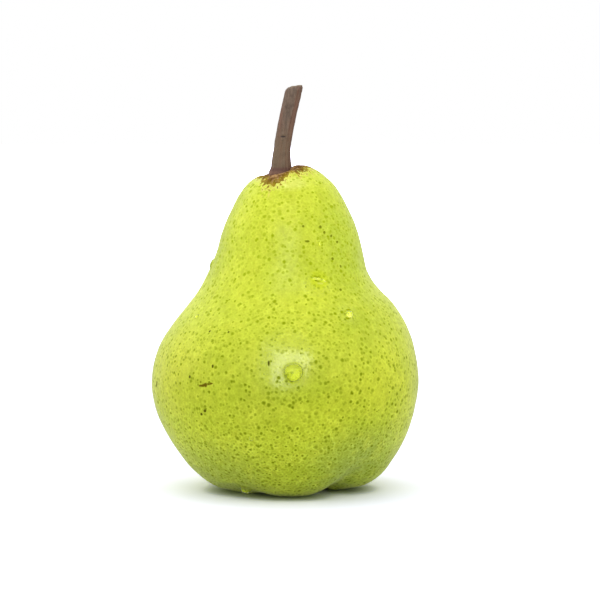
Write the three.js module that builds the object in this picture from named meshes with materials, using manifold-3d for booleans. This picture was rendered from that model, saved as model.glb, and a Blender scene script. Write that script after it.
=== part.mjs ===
// A green dessert pear as picked, standing on its blossom end: the fleshy fruit, the woody stem that
// leaves its crown beside a fleshy lip, and the dry calyx in the basin underneath.
// Millimetres, +Z up, -Y to the front, +X to the side with the fuller shoulder.
// The origin is the middle of the fruit's footprint box, on the surface that the fruit stands on.
import * as THREE from "three";
import { mergeVertices } from "three/addons/utils/BufferGeometryUtils.js";
import Module from "manifold-3d";

// ---- driving dimensions ----
const BELLY_RADIUS = 34.8; // half of the fruit's largest width
const FRUIT_HEIGHT = 82; // from the surface to the crown, without its lip
const STEM_HEIGHT = 104.9; // from the surface to the middle of the stem's cut end
const STEM_RADIUS = 2.1; // the stem at its slimmest
const CALYX_RADIUS = 3; // the calyx cup, without its sepals
const FIT_GAP = 0.3; // clearance between pieces that touch

// ---- where the pieces meet ----
const STEM_FOOT_RADIUS = STEM_RADIUS + 0.5;
const SOCKET_RADIUS = STEM_FOOT_RADIUS + FIT_GAP; // the stem's socket in the crown
const SOCKET_DEPTH = 5.5;
const PIT_RADIUS = CALYX_RADIUS + FIT_GAP; // the calyx's pit in the basin
const PIT_DEPTH = 1.2;
const BASIN_HEIGHT = 4.7; // from the surface to the basin's floor

// ---- resolution ----
const FRUIT_SIDES = 70; // a multiple of the lobe count
const STEM_SIDES = 24;
const CUP_SIDES = 20;
const STEPS_PER_SPAN = 3; // profile rows between two outline points

// The fruit's outline, from the calyx pit round the foot and the belly to the stem's socket.
// Radius is a share of BELLY_RADIUS, height a share of FRUIT_HEIGHT. The foot dips below the surface
// and is cut off there, which leaves the flat spots that the fruit stands on.
const FRUIT_OUTLINE = [
  { name: "basin floor", radius: PIT_RADIUS / BELLY_RADIUS, height: BASIN_HEIGHT / FRUIT_HEIGHT },
  { name: "basin wall", radius: 0.2, height: 0.038 },
  { name: "foot inside", radius: 0.28, height: 0.01 },
  { name: "foot", radius: 0.365, height: -0.004 },
  { name: "heel", radius: 0.47, height: 0.004 },
  { name: "under belly", radius: 0.59, height: 0.022 },
  { name: "low belly", radius: 0.72, height: 0.064 },
  { name: "flank", radius: 0.842, height: 0.13 },
  { name: "belly side", radius: 0.95, height: 0.225 },
  { name: "belly", radius: 1, height: 0.345 },
  { name: "high belly", radius: 0.96, height: 0.445 },
  { name: "shoulder", radius: 0.856, height: 0.525 },
  { name: "slope", radius: 0.714, height: 0.602 },
  { name: "waist", radius: 0.625, height: 0.67 },
  { name: "low neck", radius: 0.556, height: 0.744 },
  { name: "neck", radius: 0.5, height: 0.832 },
  { name: "high neck", radius: 0.42, height: 0.905 },
  { name: "crown side", radius: 0.32, height: 0.97 },
  { name: "crown", radius: 0.22, height: 0.993 },
  { name: "crown rim", radius: 0.14, height: 0.997 },
  { name: "socket rim", radius: SOCKET_RADIUS / BELLY_RADIUS, height: 0.988 },
];

// The stem's outline above its socket, up to the knob where it parted from the spur.
// Radius is a share of STEM_RADIUS, height is in millimetres above the socket rim.
const STEM_OUTLINE = [
  { name: "foot", radius: STEM_FOOT_RADIUS / STEM_RADIUS, height: 3.2 },
  { name: "above the foot", radius: 1.1, height: 5.4 },
  { name: "low stem", radius: 1.01, height: 9 },
  { name: "mid stem", radius: 1.03, height: 13.5 },
  { name: "high stem", radius: 1.04, height: 18.5 },
  { name: "under the knob", radius: 1.07, height: 21 },
  { name: "knob", radius: 1.1, height: 23 },
];

// ---- the fruit's own irregularities ----
// Broad swellings and hollows of the skin, in millimetres away from the fruit's middle line.
// Azimuth and spread are in degrees, the rest in millimetres.
const SWELLS = [
  { name: "full shoulder", azimuth: -5, height: 48.5, amount: 2.3, spread: 60, above: 3, below: 9 },
  { name: "waist above it", azimuth: 0, height: 57, amount: -0.6, spread: 55, above: 3.5, below: 3 },
  { name: "full lobe", azimuth: -10, height: 3, amount: 0.9, spread: 24, above: 4, below: 3 },
  { name: "front belly", azimuth: -95, height: 32, amount: 0.5, spread: 40, above: 16, below: 14 },
  { name: "back flat", azimuth: 95, height: 38, amount: -0.9, spread: 40, above: 18, below: 18 },
  { name: "neck rib", azimuth: -115, height: 66, amount: 0.5, spread: 28, above: 13, below: 14 },
  { name: "neck hollow", azimuth: 60, height: 66, amount: -0.6, spread: 30, above: 12, below: 12 },
];
const SOCKET_CALM = 3; // swellings fade in over this distance from the socket

// Slow waves of the skin at the front and the back: crests round the fruit, and millimetres of
// height per radian.
const WAVES = [
  { around: 3, height: 9, phase: 0 },
  { around: 5, height: -6, phase: 1 },
  { around: 2, height: 4.5, phase: 2 },
];
const WAVE_HEIGHT = 0.2;
const WAVES_START = [3, 14]; // heights over which they fade in
const WAVES_END = [70, 80]; // and out

// Creases between the lobes of the blossom end.
const LOBES = 5;
const FIRST_CREASE = -47; // degrees
const CREASE_DEPTHS = [2.6, 1.2, 1.5, 1.1, 0.9]; // one for each lobe
const CREASE_SPREAD = 14; // degrees
const CREASE_REACH = 24; // height at which a crease has run out
const CREASE_START = [CALYX_RADIUS + 1, 9]; // radii over which it starts in the basin

// The fleshy lip of the crown, which pushes the stem over.
const LIP_HEIGHT = 2.8;
const LIP_AZIMUTH = 5; // degrees
const LIP_SPREAD = 84; // degrees
const LIP_END = [5.5, 11]; // radii over which it runs out
const CROWN_START = [74, 78]; // heights over which the crown begins

// Sideways places along +X: the middle line's at the foot and the crown, and the stem's.
const LEAN_FOOT = 0.6;
const LEAN_FOOT_END = [9, 20]; // heights
const LEAN_CROWN = 1.2;
const LEAN_CROWN_START = [36, 66]; // heights
const STEM_OFFSET = -1.05;
const CROWN_RADIUS = 12; // inside it, the crown's rings close in on the stem

// ---- how the stem bends ----
const STRAIGHT_LENGTH = 4.7; // above the socket rim
const STEM_SLANT = 0.284; // sideways for each millimetre of height, once the stem has bent
const STEM_EASE = 10.9; // the length over which it bends
const STEM_SAG = 0.25; // share of the bend that also goes to the front
const KNOB_LENGTH = 6;
const KNOB_TILT = 0.16; // rise of the cut end per millimetre towards +X
const KNOB_CHAMFER = 0.86; // share of the knob's radius that the cut end keeps

// ---- the calyx ----
const SEPALS = 5;
const SEPAL_LENGTH = 5.4;
const SEPAL_WIDTH = 2.7;
const SEPAL_THICKNESS = 0.7;
const SEPAL_ROOT = 1; // length sunk in the cup
const SEPAL_DROOP = 24; // degrees below level where a sepal starts
const SEPAL_CURL = 0.05; // drop per square millimetre of length
const SEPAL_DISH = 0.06; // rise of its edges per square millimetre of width
const CUP_HEIGHT = 1.1;

const DEGREE = Math.PI / 180;
const bell = (distance, spread) => Math.exp(-((distance / spread) ** 2));
const fadeIn = ([from, to], value) => THREE.MathUtils.smoothstep(value, from, to);
const fadeOut = (range, value) => 1 - fadeIn(range, value);

// The angle between two azimuths in degrees, by the shorter way round.
const turn = (a, b) => Math.abs(((((a - b) % 360) + 540) % 360) - 180);

// Points on a smooth line through outline points, each { radius, height } in millimetres.
function outlineThrough(corners) {
  const line = new THREE.CatmullRomCurve3(
    corners.map((c) => new THREE.Vector3(c.radius, c.height, 0)),
    false,
    "centripetal",
  );
  return line
    .getPoints((corners.length - 1) * STEPS_PER_SPAN)
    .map((p) => new THREE.Vector2(p.x, p.y));
}

// The geometry with shared vertices merged, which closes it.
function closed(geometry) {
  const plain = geometry.clone();
  plain.deleteAttribute("normal");
  plain.deleteAttribute("uv");
  const merged = mergeVertices(plain, 1e-4);
  merged.computeVertexNormals();
  return merged;
}

// A solid of revolution about +Z, with every vertex then moved by place(point, normal).
function turned(profile, sides, place) {
  const lathe = new THREE.LatheGeometry(profile, sides).rotateX(Math.PI / 2);
  const position = lathe.getAttribute("position");
  const normals = lathe.getAttribute("normal");
  const point = new THREE.Vector3();
  const normal = new THREE.Vector3();
  for (let i = 0; i < position.count; i++) {
    point.fromBufferAttribute(position, i);
    normal.fromBufferAttribute(normals, i);
    place(point, normal);
    position.setXYZ(i, point.x, point.y, point.z);
  }
  return closed(lathe);
}

// How far the broad swellings raise the skin.
function swellAt(azimuth, height) {
  return SWELLS.reduce((sum, s) => {
    const climb = height - s.height;
    const reach = climb > 0 ? s.above : s.below;
    return sum + s.amount * bell(turn(azimuth, s.azimuth), s.spread) * bell(climb, reach);
  }, 0);
}

// How far the slow waves raise the skin. They vanish at the two sides.
function waveAt(azimuth, height) {
  const angle = azimuth * DEGREE;
  const sum = WAVES.reduce((s, w) => s + Math.sin(w.around * angle + height / w.height + w.phase), 0);
  const share = Math.sin(angle) ** 2 * fadeIn(WAVES_START, height) * fadeOut(WAVES_END, height);
  return WAVE_HEIGHT * sum * share;
}

// How far the deepest crease near a point sinks the skin.
function creaseAt(azimuth, radius, height) {
  const depths = CREASE_DEPTHS.map(
    (depth, i) => depth * bell(turn(azimuth, FIRST_CREASE + (i * 360) / LOBES), CREASE_SPREAD),
  );
  const upTheSide = fadeOut([0, CREASE_REACH], height) ** 1.5;
  return Math.max(...depths) * upTheSide * fadeIn(CREASE_START, radius);
}

// How far the lip rises above the crown.
function lipAt(azimuth, radius, height) {
  const round = bell(turn(azimuth, LIP_AZIMUTH), LIP_SPREAD);
  return LIP_HEIGHT * round * fadeOut(LIP_END, radius) * fadeIn(CROWN_START, height);
}

// The sideways place of the fruit's middle line at a height.
function leanAt(height) {
  return LEAN_FOOT * fadeOut(LEAN_FOOT_END, height) + LEAN_CROWN * fadeIn(LEAN_CROWN_START, height);
}

function makeFruit(socketRim) {
  const skin = outlineThrough(
    FRUIT_OUTLINE.map((c) => ({ radius: c.radius * BELLY_RADIUS, height: c.height * FRUIT_HEIGHT })),
  );
  const pitCeiling = BASIN_HEIGHT + PIT_DEPTH;
  const socketFloor = socketRim - SOCKET_DEPTH;
  const profile = [
    new THREE.Vector2(0, pitCeiling),
    new THREE.Vector2(PIT_RADIUS, pitCeiling),
    ...skin,
    new THREE.Vector2(SOCKET_RADIUS, socketFloor),
    new THREE.Vector2(0, socketFloor),
  ];
  return turned(profile, FRUIT_SIDES, (point, normal) => {
    const radius = Math.hypot(point.x, point.y);
    const height = point.z;
    const azimuth = Math.atan2(point.y, point.x) / DEGREE;
    const onSkin = fadeIn([SOCKET_RADIUS, SOCKET_RADIUS + SOCKET_CALM], radius);
    const outward = onSkin * (swellAt(azimuth, height) + waveAt(azimuth, height));
    point.x += outward * Math.cos(azimuth * DEGREE);
    point.y += outward * Math.sin(azimuth * DEGREE);
    point.addScaledVector(normal, -creaseAt(azimuth, radius, height));
    if (height > socketFloor) point.z += lipAt(azimuth, radius, height);
    const towardsStem = height > FRUIT_HEIGHT / 2 ? fadeOut([SOCKET_RADIUS, CROWN_RADIUS], radius) : 0;
    point.x += THREE.MathUtils.lerp(leanAt(height), STEM_OFFSET, towardsStem);
    point.z = Math.max(point.z, 0);
  });
}

function makeStem(socketRim) {
  const outline = outlineThrough(
    STEM_OUTLINE.map((c) => ({ radius: c.radius * STEM_RADIUS, height: c.height + socketRim })),
  );
  const rootEnd = socketRim - SOCKET_DEPTH + FIT_GAP;
  const knob = outline.at(-1);
  const profile = [
    new THREE.Vector2(0, rootEnd),
    new THREE.Vector2(STEM_FOOT_RADIUS, rootEnd),
    ...outline,
    new THREE.Vector2(knob.x * KNOB_CHAMFER, STEM_HEIGHT),
    new THREE.Vector2(0, STEM_HEIGHT),
  ];
  return turned(profile, STEM_SIDES, (point) => {
    const climb = Math.max(point.z - socketRim - STRAIGHT_LENGTH, 0);
    const bend = (STEM_SLANT * climb ** 2) / (climb + STEM_EASE);
    point.z += KNOB_TILT * point.x * fadeIn([knob.y - KNOB_LENGTH, knob.y], point.z);
    point.x += STEM_OFFSET + bend;
    point.y -= STEM_SAG * bend;
  });
}

// One dry sepal, pointing along +X from the rim of the calyx cup and curling down.
function makeSepal() {
  const edge = SEPAL_WIDTH * 0.4;
  const bulge = SEPAL_WIDTH * 0.62;
  const middle = SEPAL_LENGTH * 0.45;
  const leaf = new THREE.Shape();
  leaf.moveTo(-SEPAL_ROOT, -edge);
  leaf.quadraticCurveTo(middle, -bulge, SEPAL_LENGTH, 0);
  leaf.quadraticCurveTo(middle, bulge, -SEPAL_ROOT, edge);
  leaf.closePath();
  const blade = new THREE.ExtrudeGeometry(leaf, {
    depth: SEPAL_THICKNESS,
    bevelEnabled: false,
    curveSegments: 6,
  });
  const position = blade.getAttribute("position");
  for (let i = 0; i < position.count; i++) {
    const along = Math.max(position.getX(i), 0);
    const across = position.getY(i);
    position.setZ(i, position.getZ(i) - SEPAL_CURL * along ** 2 + SEPAL_DISH * across ** 2);
  }
  return blade.rotateY(SEPAL_DROOP * DEGREE);
}

// The cup that the sepals grow from, with the withered styles in its middle. Z 0 is the basin's floor.
function makeCup() {
  const profile = [
    new THREE.Vector2(0, -CUP_HEIGHT * 0.9),
    new THREE.Vector2(CALYX_RADIUS * 0.24, -CUP_HEIGHT * 0.8),
    new THREE.Vector2(CALYX_RADIUS * 0.3, CUP_HEIGHT * 0.1),
    new THREE.Vector2(CALYX_RADIUS * 0.62, CUP_HEIGHT * 0.2),
    new THREE.Vector2(CALYX_RADIUS * 0.78, -CUP_HEIGHT * 0.45),
    new THREE.Vector2(CALYX_RADIUS, -CUP_HEIGHT * 0.1),
    new THREE.Vector2(CALYX_RADIUS, PIT_DEPTH - FIT_GAP),
    new THREE.Vector2(0, PIT_DEPTH - FIT_GAP),
  ];
  return turned(profile, CUP_SIDES, () => {});
}

// The calyx in one solid: the sepals joined to their cup.
function makeCalyx(wasm) {
  const solidOf = (geometry) => {
    const whole = closed(geometry);
    const vertProperties = whole.getAttribute("position").array;
    const triVerts = new Uint32Array(whole.index.array);
    return new wasm.Manifold(new wasm.Mesh({ numProp: 3, vertProperties, triVerts }));
  };
  let calyx = solidOf(makeCup());
  for (let i = 0; i < SEPALS; i++) {
    const sepal = makeSepal()
      .translate(CALYX_RADIUS * 0.8, 0, -CUP_HEIGHT * 0.55)
      .rotateZ((FIRST_CREASE + ((i + 0.5) * 360) / SEPALS) * DEGREE);
    calyx = calyx.add(solidOf(sepal));
  }
  const mesh = calyx.getMesh();
  const geometry = new THREE.BufferGeometry();
  geometry.setAttribute("position", new THREE.BufferAttribute(mesh.vertProperties, 3));
  geometry.setIndex(new THREE.BufferAttribute(mesh.triVerts, 1));
  geometry.computeVertexNormals();
  return geometry.translate(LEAN_FOOT, 0, BASIN_HEIGHT);
}

const wasm = await Module();
wasm.setup();

const socketRim = FRUIT_OUTLINE.at(-1).height * FRUIT_HEIGHT;
const waxySkin = new THREE.MeshStandardMaterial({ color: 0xc4d244, roughness: 0.42, metalness: 0 });
const bark = new THREE.MeshStandardMaterial({ color: 0x786252, roughness: 0.85, metalness: 0 });
const drySepal = new THREE.MeshStandardMaterial({ color: 0x4a3626, roughness: 0.9, metalness: 0 });

const fruit = new THREE.Mesh(makeFruit(socketRim), waxySkin);
fruit.name = "fruit";
const stem = new THREE.Mesh(makeStem(socketRim), bark);
stem.name = "stem";
const calyx = new THREE.Mesh(makeCalyx(wasm), drySepal);
calyx.name = "calyx";

const pear = new THREE.Group();
pear.add(fruit, stem, calyx);

// the origin goes to the middle of the footprint box
fruit.geometry.computeBoundingBox();
const middle = fruit.geometry.boundingBox.getCenter(new THREE.Vector3());
pear.position.set(-middle.x, -middle.y, 0);

export default pear;
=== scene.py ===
"""A green dessert pear standing on its blossom end, wet with a few drops of water.

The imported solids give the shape. The skin, the stem and the calyx are worked on from copies of them.
Lengths are written in millimetres and turned to metres by MM. +Z is up and -Y is the front.
"""
import math
from functools import partial

import bmesh
import bpy
from mathutils import Matrix, Vector, noise
from mathutils.bvhtree import BVHTree


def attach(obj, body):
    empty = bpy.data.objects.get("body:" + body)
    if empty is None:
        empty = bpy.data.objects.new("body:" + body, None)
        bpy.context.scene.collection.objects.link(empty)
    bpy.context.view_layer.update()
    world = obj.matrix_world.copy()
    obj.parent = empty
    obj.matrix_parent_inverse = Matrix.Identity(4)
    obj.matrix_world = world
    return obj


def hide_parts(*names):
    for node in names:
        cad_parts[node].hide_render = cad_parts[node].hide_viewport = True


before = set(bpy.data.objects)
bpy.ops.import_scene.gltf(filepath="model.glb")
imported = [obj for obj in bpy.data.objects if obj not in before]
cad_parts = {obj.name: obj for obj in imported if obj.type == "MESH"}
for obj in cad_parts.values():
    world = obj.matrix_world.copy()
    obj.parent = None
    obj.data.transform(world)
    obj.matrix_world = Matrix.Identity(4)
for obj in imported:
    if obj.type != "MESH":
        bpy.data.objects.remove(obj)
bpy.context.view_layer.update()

MM = 0.001


def spot(name, at, half, **what):
    """A soft spot of the pear: an ellipsoid's middle and half sizes, and what happens inside it."""
    return {"name": name, "at": at, "half": half, **what}


def drop(name, at, wide, long, tall, turn=0, glow=0, lens=0):
    """A drop of water: a point near the skin, width, length up the skin, height off it and turn in degrees.

    Glow is how much painted light brightens the skin under the drop. Lens is how much painted light
    brightens the low side and painted shade darkens the high one."""
    size = {"wide": wide, "long": long, "tall": tall}
    return {"name": name, "at": at, **size, "turn": turn, "glow": glow, "lens": lens}


# ---- camera ----
CAMERA_DISTANCE = 700
CAMERA_ELEVATION = 5  # degrees above the horizon
CAMERA_TARGET = (3.77, 0, 49.4)
FRAME_WIDTH = 156.12  # what the frame's width covers at the target
SENSOR = 36

# ---- light ----
# Softboxes: azimuth turns from the front towards +X, elevation is above the horizon, both in degrees.
# Radiance is how bright the box looks, where 1 is white.
SOFTBOXES = [
    dict(name="left_box", azimuth=-65, elevation=20, distance=1000, wide=800, tall=700, radiance=0.34),
    dict(name="right_box", azimuth=65, elevation=20, distance=1000, wide=800, tall=700, radiance=0.69),
    dict(name="edge_box", azimuth=-100, elevation=8, distance=900, wide=500, tall=800, radiance=0.79),
    dict(name="back_left_box", azimuth=-130, elevation=45, distance=1100, wide=800, tall=800, radiance=0.51),
    dict(name="top_box", azimuth=0, elevation=80, distance=1100, wide=1200, tall=1200, radiance=0.33),
    dict(name="top_back_box", azimuth=180, elevation=66, distance=1100, wide=1200, tall=1000, radiance=0.33),
]
# A box by the lens that only shows as the soft window of light on the belly.
SHINE = dict(name="shine_box", azimuth=-1, elevation=26, distance=800, wide=430, tall=640, radiance=6.0)
LIGHT_AIM = (0, 0, 45)
ROOM_GLOW = 0.9  # the white room's light on the pear

# ---- floor ----
FLOOR_SIDE = 6000
PAPER_BOUNCE = 0.7  # the share of its light that the paper throws back on the pear
# The paper is lit until it is pure white to the eye: how bright it looks near the pear and far from it, and
# the distances from the middle between which that changes.
PAPER_NEAR, PAPER_FAR = 1.18, 2.6
PAPER_TURN = (150, 1000)
PAPER_BRIGHTENER = 1.19  # how much more blue the paper shows than red and green
GAP_REACH = 3.2  # painted shade: the paper darkens in the narrow gap under the fruit within this height
GAP_SHADE_COLOUR = "#959e70"

# ---- where the crown meets the stem, and the basin meets the calyx ----
STEM_CENTRE = (-1.06, 0.53)
CALYX_CENTRE = (0.59, 0.53)
SOCKET_RADIUS = 2.9
PIT_RADIUS = 3.3
RIM_SLACK = 1.02  # the walls of both holes lie within this share of their radius
RIM_BAND = 1.25  # their open rims lie within this share
CROWN_FLOOR = 60  # all of the crown is above this height
FOOT_CEILING = 20  # all of the foot is below this height
# How each hole's rim is rolled in, step by step: the share of its radius that is kept, and its rise.
SOCKET_ROLL = [(0.93, 0.05), (0.9, -0.25), (0.93, -0.9), (0.97, -1.4)]
PIT_ROLL = [(0.97, 0.5), (0.9, 0.9), (0.6, 0.3)]

# ---- shape of the skin ----
SKIN_LEVELS = 2  # of subdivision

# Small swellings of the flesh under the skin: wavelength and height.
LUMPS = [(9, 0.16), (4.2, 0.07), (2.1, 0.025)]

# Single soft swellings and hollows, with their rise.
SWELLS = [
    spot("crown left", (-6.0, -0.5, 82), (4.6, 7, 4), rise=-0.45),
    spot("crown edge left", (-13.5, 0, 77.5), (5, 9, 5), rise=0.2),
    spot("crown right", (9.5, 0, 81), (6, 8, 6), rise=0.32),
    spot("belly left", (-34, 0, 26), (12, 26, 12), rise=0.25),
    spot("foot left", (-13.2, -12.5, 1.4), (7, 9, 4), rise=-0.65),
    spot("foot right", (14.3, -7, 0.7), (7, 8, 4), rise=-0.5),
]
CALM_FOOT, CALM_STEM = (0, 6), (2.5, 5)  # heights and distances from the stem over which the lumps begin
# Wrinkles run out from the stem: their rise, the distances over which they begin and end, the radius of the
# circle on which their pattern is read, where a larger one gives more of them, and how they wind.
WRINKLE_RISE = 0.5
WRINKLE_BEGIN, WRINKLE_END = (2.2, 3.2), (9, 3.5)
WRINKLES_ROUND, WRINKLE_WIND = 2.6, 0.12

# ---- shape of the stem and the calyx ----
STEM_LEVELS = 3
CALYX_LEVELS = 2
SCAR_AT = (-0.6, -1.6, 91.9)
SCAR = spot("dark scar of a bud", SCAR_AT, (0.75, 1.2, 0.28))
SCAR_DENT = spot("dent of the scar", SCAR_AT, (0.7, 1.2, 0.3), rise=-0.18)
# A low ridge lies over the scar: how far up from it, its half height and its rise.
RIDGE_LIFT, RIDGE_HALF, RIDGE_RISE = 0.3, 0.9, 0.16
# The stem spreads onto the crown between these heights: how far all round, and how much more towards -X.
STEM_FOOT = (84.4, 82.2)
FOOT_SPREAD, FOOT_SPREAD_LEFT = 0.22, 0.55
TORN_END = (103.2, 104.2)  # the heights over which the end gets rough
TORN_RISE, TORN_FINE = 0.18, 1.3
# Ridges along the bark, roughness of it all over and crumples of the sepals: rise, and how fine they are.
RIDGES, ROUGHNESS = [(0.2, 1.7), (0.1, 4.3)], [(0.07, 0.8), (0.03, 2.4)]
CRUMPLES = [(0.25, 0.7), (0.1, 1.9)]
RIDGES_ROUND, RIDGES_ALONG = 1.6, 0.05  # a small second number makes them long

# ---- colours and patterns of the skin ----
SKIN_LOW, SKIN_HIGH = "#bcca26", "#d4e034"  # under and over the belly
SKIN_TURN = (26, 58)  # the heights between which the first turns into the second
CLOUD_GREEN, BLOTCH_YELLOW = "#abc00c", "#dde33a"
PAINTED_WATER_LIGHT, PAINTED_WATER_SHADE = "#eef272", "#8c9a00"  # painted light and painted shade on the skin under a drop

# Patterns in the skin: millimetres from one feature to the next, and how much finer detail is in them.
SKIN_PATTERNS = {
    "crowding": (11, 1),
    "clouds": (9, 2),
    "blotches": (3.2, 3),
    "mottling": (1.2, 3),
    "pebbles": (1.1, 3),
    "fraying": (0.7, 2),
    "grain": (0.5, 1),
}
UNEVEN_TURN, NECK_UNEVEN = (46, 16), 0.74  # the patterns are full below 16 mm, and this share above 46
STREAK_WIDTH = 1.6  # of the upright streaks
STREAK_SQUEEZE = 0.16  # their width over their length
NOISE = (0.3, 0.7)  # nearly all of a pattern lies between these

# The skin's breathing pores, in two sizes: spacing, the radius where a pore's colour is full and where
# it ends, and the radius of the paler ring round it.
LARGE_PORES = {"spacing": 1.3, "full": 0.16, "end": 0.66, "ring": 0.95}
SMALL_PORES = {"spacing": 1.0, "full": 0.13, "end": 0.46, "ring": 0.64}
PORE_SIZES = (0.65, 1.2)  # the smallest and the largest, as shares of those radii
PORE_FAINTEST = 0.15
PORE_DEPTHS = (0.5, 0.2)  # how far off the skin a pore's point is gone and full, as shares of the spacing
PORE_RAGGED, PORE_SHIFT = 0.9, 0.5  # how far apart the kinks in a pore's edge are, and how wide
PORE_HIGH, PORE_LOW = "#a2b400", "#7c8c00"
PORE_TURN = (66, 24)  # the heights between which the first turns into the second
RING_LIGHT = 1.27

# The small pores crowd together from the first height down to the second, and in one spot higher up.
CROWD_TURN = (30, 14)
CROWD = spot("neck right", (14, -14, 62), (9, 13, 17))
# The rings grow into a pale net from the first height down to the second. Above it they keep this share.
NET_TURN, NECK_RINGS = (30, 12), 0.25

# Single marks in the skin, with their tilt in degrees about the front axis and their colour.
# The rim marks are painted light and painted shade that a drop or a run of water casts on the skin by its
# rim.
MARK_EDGE = (1.75, 1.15)  # as TINT_EDGE, after the fraying is added to the share
FLECK, SCRATCH, PORE, PAINTED_RIM_LIGHT, PAINTED_RIM_SHADE = "#5a5e04", "#6e6006", "#848f10", "#dce552", "#a2ae14"
MARKS = [
    spot("fleck high left", (-19.05, -22.1, 43.5), (0.34, 0.34, 0.34), colour=FLECK),
    spot("fleck left", (-14.2, -25.5, 43.6), (0.28, 0.28, 0.28), colour=FLECK),
    spot("upright fleck", (-4.0, -32.8, 36.45), (0.27, 1.0, 0.7), tilt=5, colour=FLECK),
    spot("fleck left of the scratch", (-23.97, -24.4, 32.1), (0.3, 0.5, 0.42), colour=FLECK),
    spot("fleck above the scratch", (-18.1, -28.1, 35.2), (0.27, 0.5, 0.45), colour=FLECK),
    spot("fleck pair left", (-20.98, -26.7, 22.95), (0.36, 0.5, 0.36), colour=FLECK),
    spot("fleck pair right", (-20.1, -27.6, 23.9), (0.42, 0.6, 0.42), colour=FLECK),
    spot("scratch", (-20.5, -27.5, 30.3), (1.5, 1.5, 0.34), tilt=9, colour=SCRATCH),
    spot("scratch middle", (-19.9, -28.0, 30.45), (0.5, 0.8, 0.55), tilt=9, colour=SCRATCH),
    spot("scratch tail", (-18.8, -28.6, 30.85), (1.0, 0.9, 0.26), tilt=12, colour=SCRATCH),
    spot("scratch corner", (-21.2, -27.0, 31.1), (0.3, 0.5, 0.34), colour=PORE),
    spot("scratch upper", (-18.9, -28.4, 31.15), (0.3, 0.5, 0.34), colour=PORE),
    spot("fleck by the left edge", (-33.0, -10.6, 28.7), (0.8, 0.5, 0.9), colour=FLECK),
    spot("fleck at the back", (12.0, 30.5, 40.0), (0.8, 1.0, 0.5), tilt=20, colour=FLECK),
    spot("pore high middle", (4.56, -16.3, 69.6), (0.34, 0.4, 0.34), colour=PORE),
    spot("pore high right", (8.9, -14.5, 69.35), (0.36, 0.5, 0.4), colour=PORE),
    spot("pore by it", (9.92, -14.5, 67.95), (0.36, 0.5, 0.36), colour=PORE),
    spot("wide pore", (5.57, -17.4, 65.85), (0.62, 0.5, 0.3), colour=PORE),
    spot("pore right", (11.72, -13.6, 67.0), (0.34, 0.5, 0.36), colour=PORE),
    spot("pore far right", (13.26, -12.9, 65.4), (0.34, 0.5, 0.36), colour=PORE),
    spot("pore right of the middle", (12.08, -15.1, 61.25), (0.36, 0.5, 0.4), colour=PORE),
    spot("pore low right", (14.14, -14.2, 59.25), (0.34, 0.5, 0.42), colour=PORE),
    spot("pore under the waist", (14.08, -17.5, 53.6), (0.42, 0.5, 0.36), colour=PORE),
    # painted light and painted shade along the waist run and round the drops
    spot("waist run", (8.1, -19.1, 56.45), (1.3, 0.9, 0.22), tilt=-7, colour=PAINTED_RIM_LIGHT),
    spot("waist run end", (10.0, -18.55, 55.75), (0.5, 0.6, 0.3), colour=PAINTED_RIM_LIGHT),
    spot("lower waist run", (8.85, -19.3, 55.3), (0.9, 0.7, 0.24), tilt=-7, colour=PAINTED_RIM_LIGHT),
    spot("over the waist run", (7.97, -18.9, 57.0), (1.0, 0.7, 0.18), tilt=-7, colour=PAINTED_RIM_SHADE),
    spot("under the waist run", (8.1, -19.3, 55.95), (1.0, 0.7, 0.17), tilt=-7, colour=PAINTED_RIM_SHADE),
    spot("under the shoulder drop", (15.7, -22.8, 46.75), (0.6, 0.7, 0.3), tilt=-10, colour=PAINTED_RIM_SHADE),
    spot("over the shoulder drop", (16.1, -20.9, 48.75), (0.85, 0.8, 0.24), colour=PAINTED_RIM_SHADE),
    spot("under the large drop", (1.5, -34.2, 32.1), (0.5, 0.6, 0.26), tilt=-20, colour=PAINTED_RIM_SHADE),
    spot("right of the large drop", (4.35, -33.8, 34.1), (0.26, 0.5, 0.5), colour=PAINTED_RIM_SHADE),
]

# Flanks that are paler or darker than the rest, and what their colour is multiplied by. Part is the skin's
# own colour
# and part painted light and shade: the darker neck flanks, foot and crown edges are painted shade, the paler
# flanks and foot edge are painted light, the raised blue on the foot is a painted paleness of the room's
# reflection, and the pale patch on the front of the crown is a painted highlight. A tint begins at the first
# share of its ellipsoid's size and is full at the second.
TINT_EDGE = (1.0, 0.2)
TINTS = [
    spot("neck right", (17, -9, 66), (14, 22, 24), gain=(0.81, 0.87, 0.92)),
    spot("neck left", (-18, -4, 66), (7, 18, 24), gain=(0.8, 0.83, 0.95)),
    spot("shoulder right", (20, -18, 46), (16, 18, 13), gain=(0.88, 0.9, 0.95)),
    # painted light on the flanks
    spot("flank right", (26, -20, 31), (22, 24, 15), gain=(1.17, 1.12, 1.1)),
    spot("flank left", (-28, -16, 33), (14, 22, 14), gain=(1.12, 1.05, 1.1)),
    # painted shade on the foot, with a painted paleness of the room's reflection in its blue
    spot("foot right", (20, -22, 8), (24, 26, 17), gain=(0.72, 0.78, 1.6)),
    spot("low neck", (-1, -22, 59), (12, 16, 12), gain=(0.93, 0.96, 0.9)),
    spot("foot edge right", (33, -8, 17), (12, 22, 11), gain=(1.16, 1.13, 1.1)),
    # painted shade along the crown's edges
    spot("crown edge left", (-12.5, -3, 76), (5, 6, 8), gain=(0.84, 0.86, 0.9)),
    spot("crown edge", (10.0, 1.4, 81.6), (4.6, 2.9, 3.4), gain=(0.6, 0.66, 1.2)),
    # painted highlight on the front of the crown
    spot("bloom on the crown", (1.0, -9.6, 80.4), (6.5, 5, 3.0), gain=(1.16, 1.1, 3.5)),
    spot("foot left", (-18, -20, 5), (22, 22, 14), gain=(0.8, 0.83, 1.4)),
    spot("low front", (8, -33, 22), (18, 10, 12), gain=(1.08, 1.07, 1.0)),
    spot("waist", (3, -20, 52), (12, 10, 7), gain=(1.05, 1.04, 1.0)),
]

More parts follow.
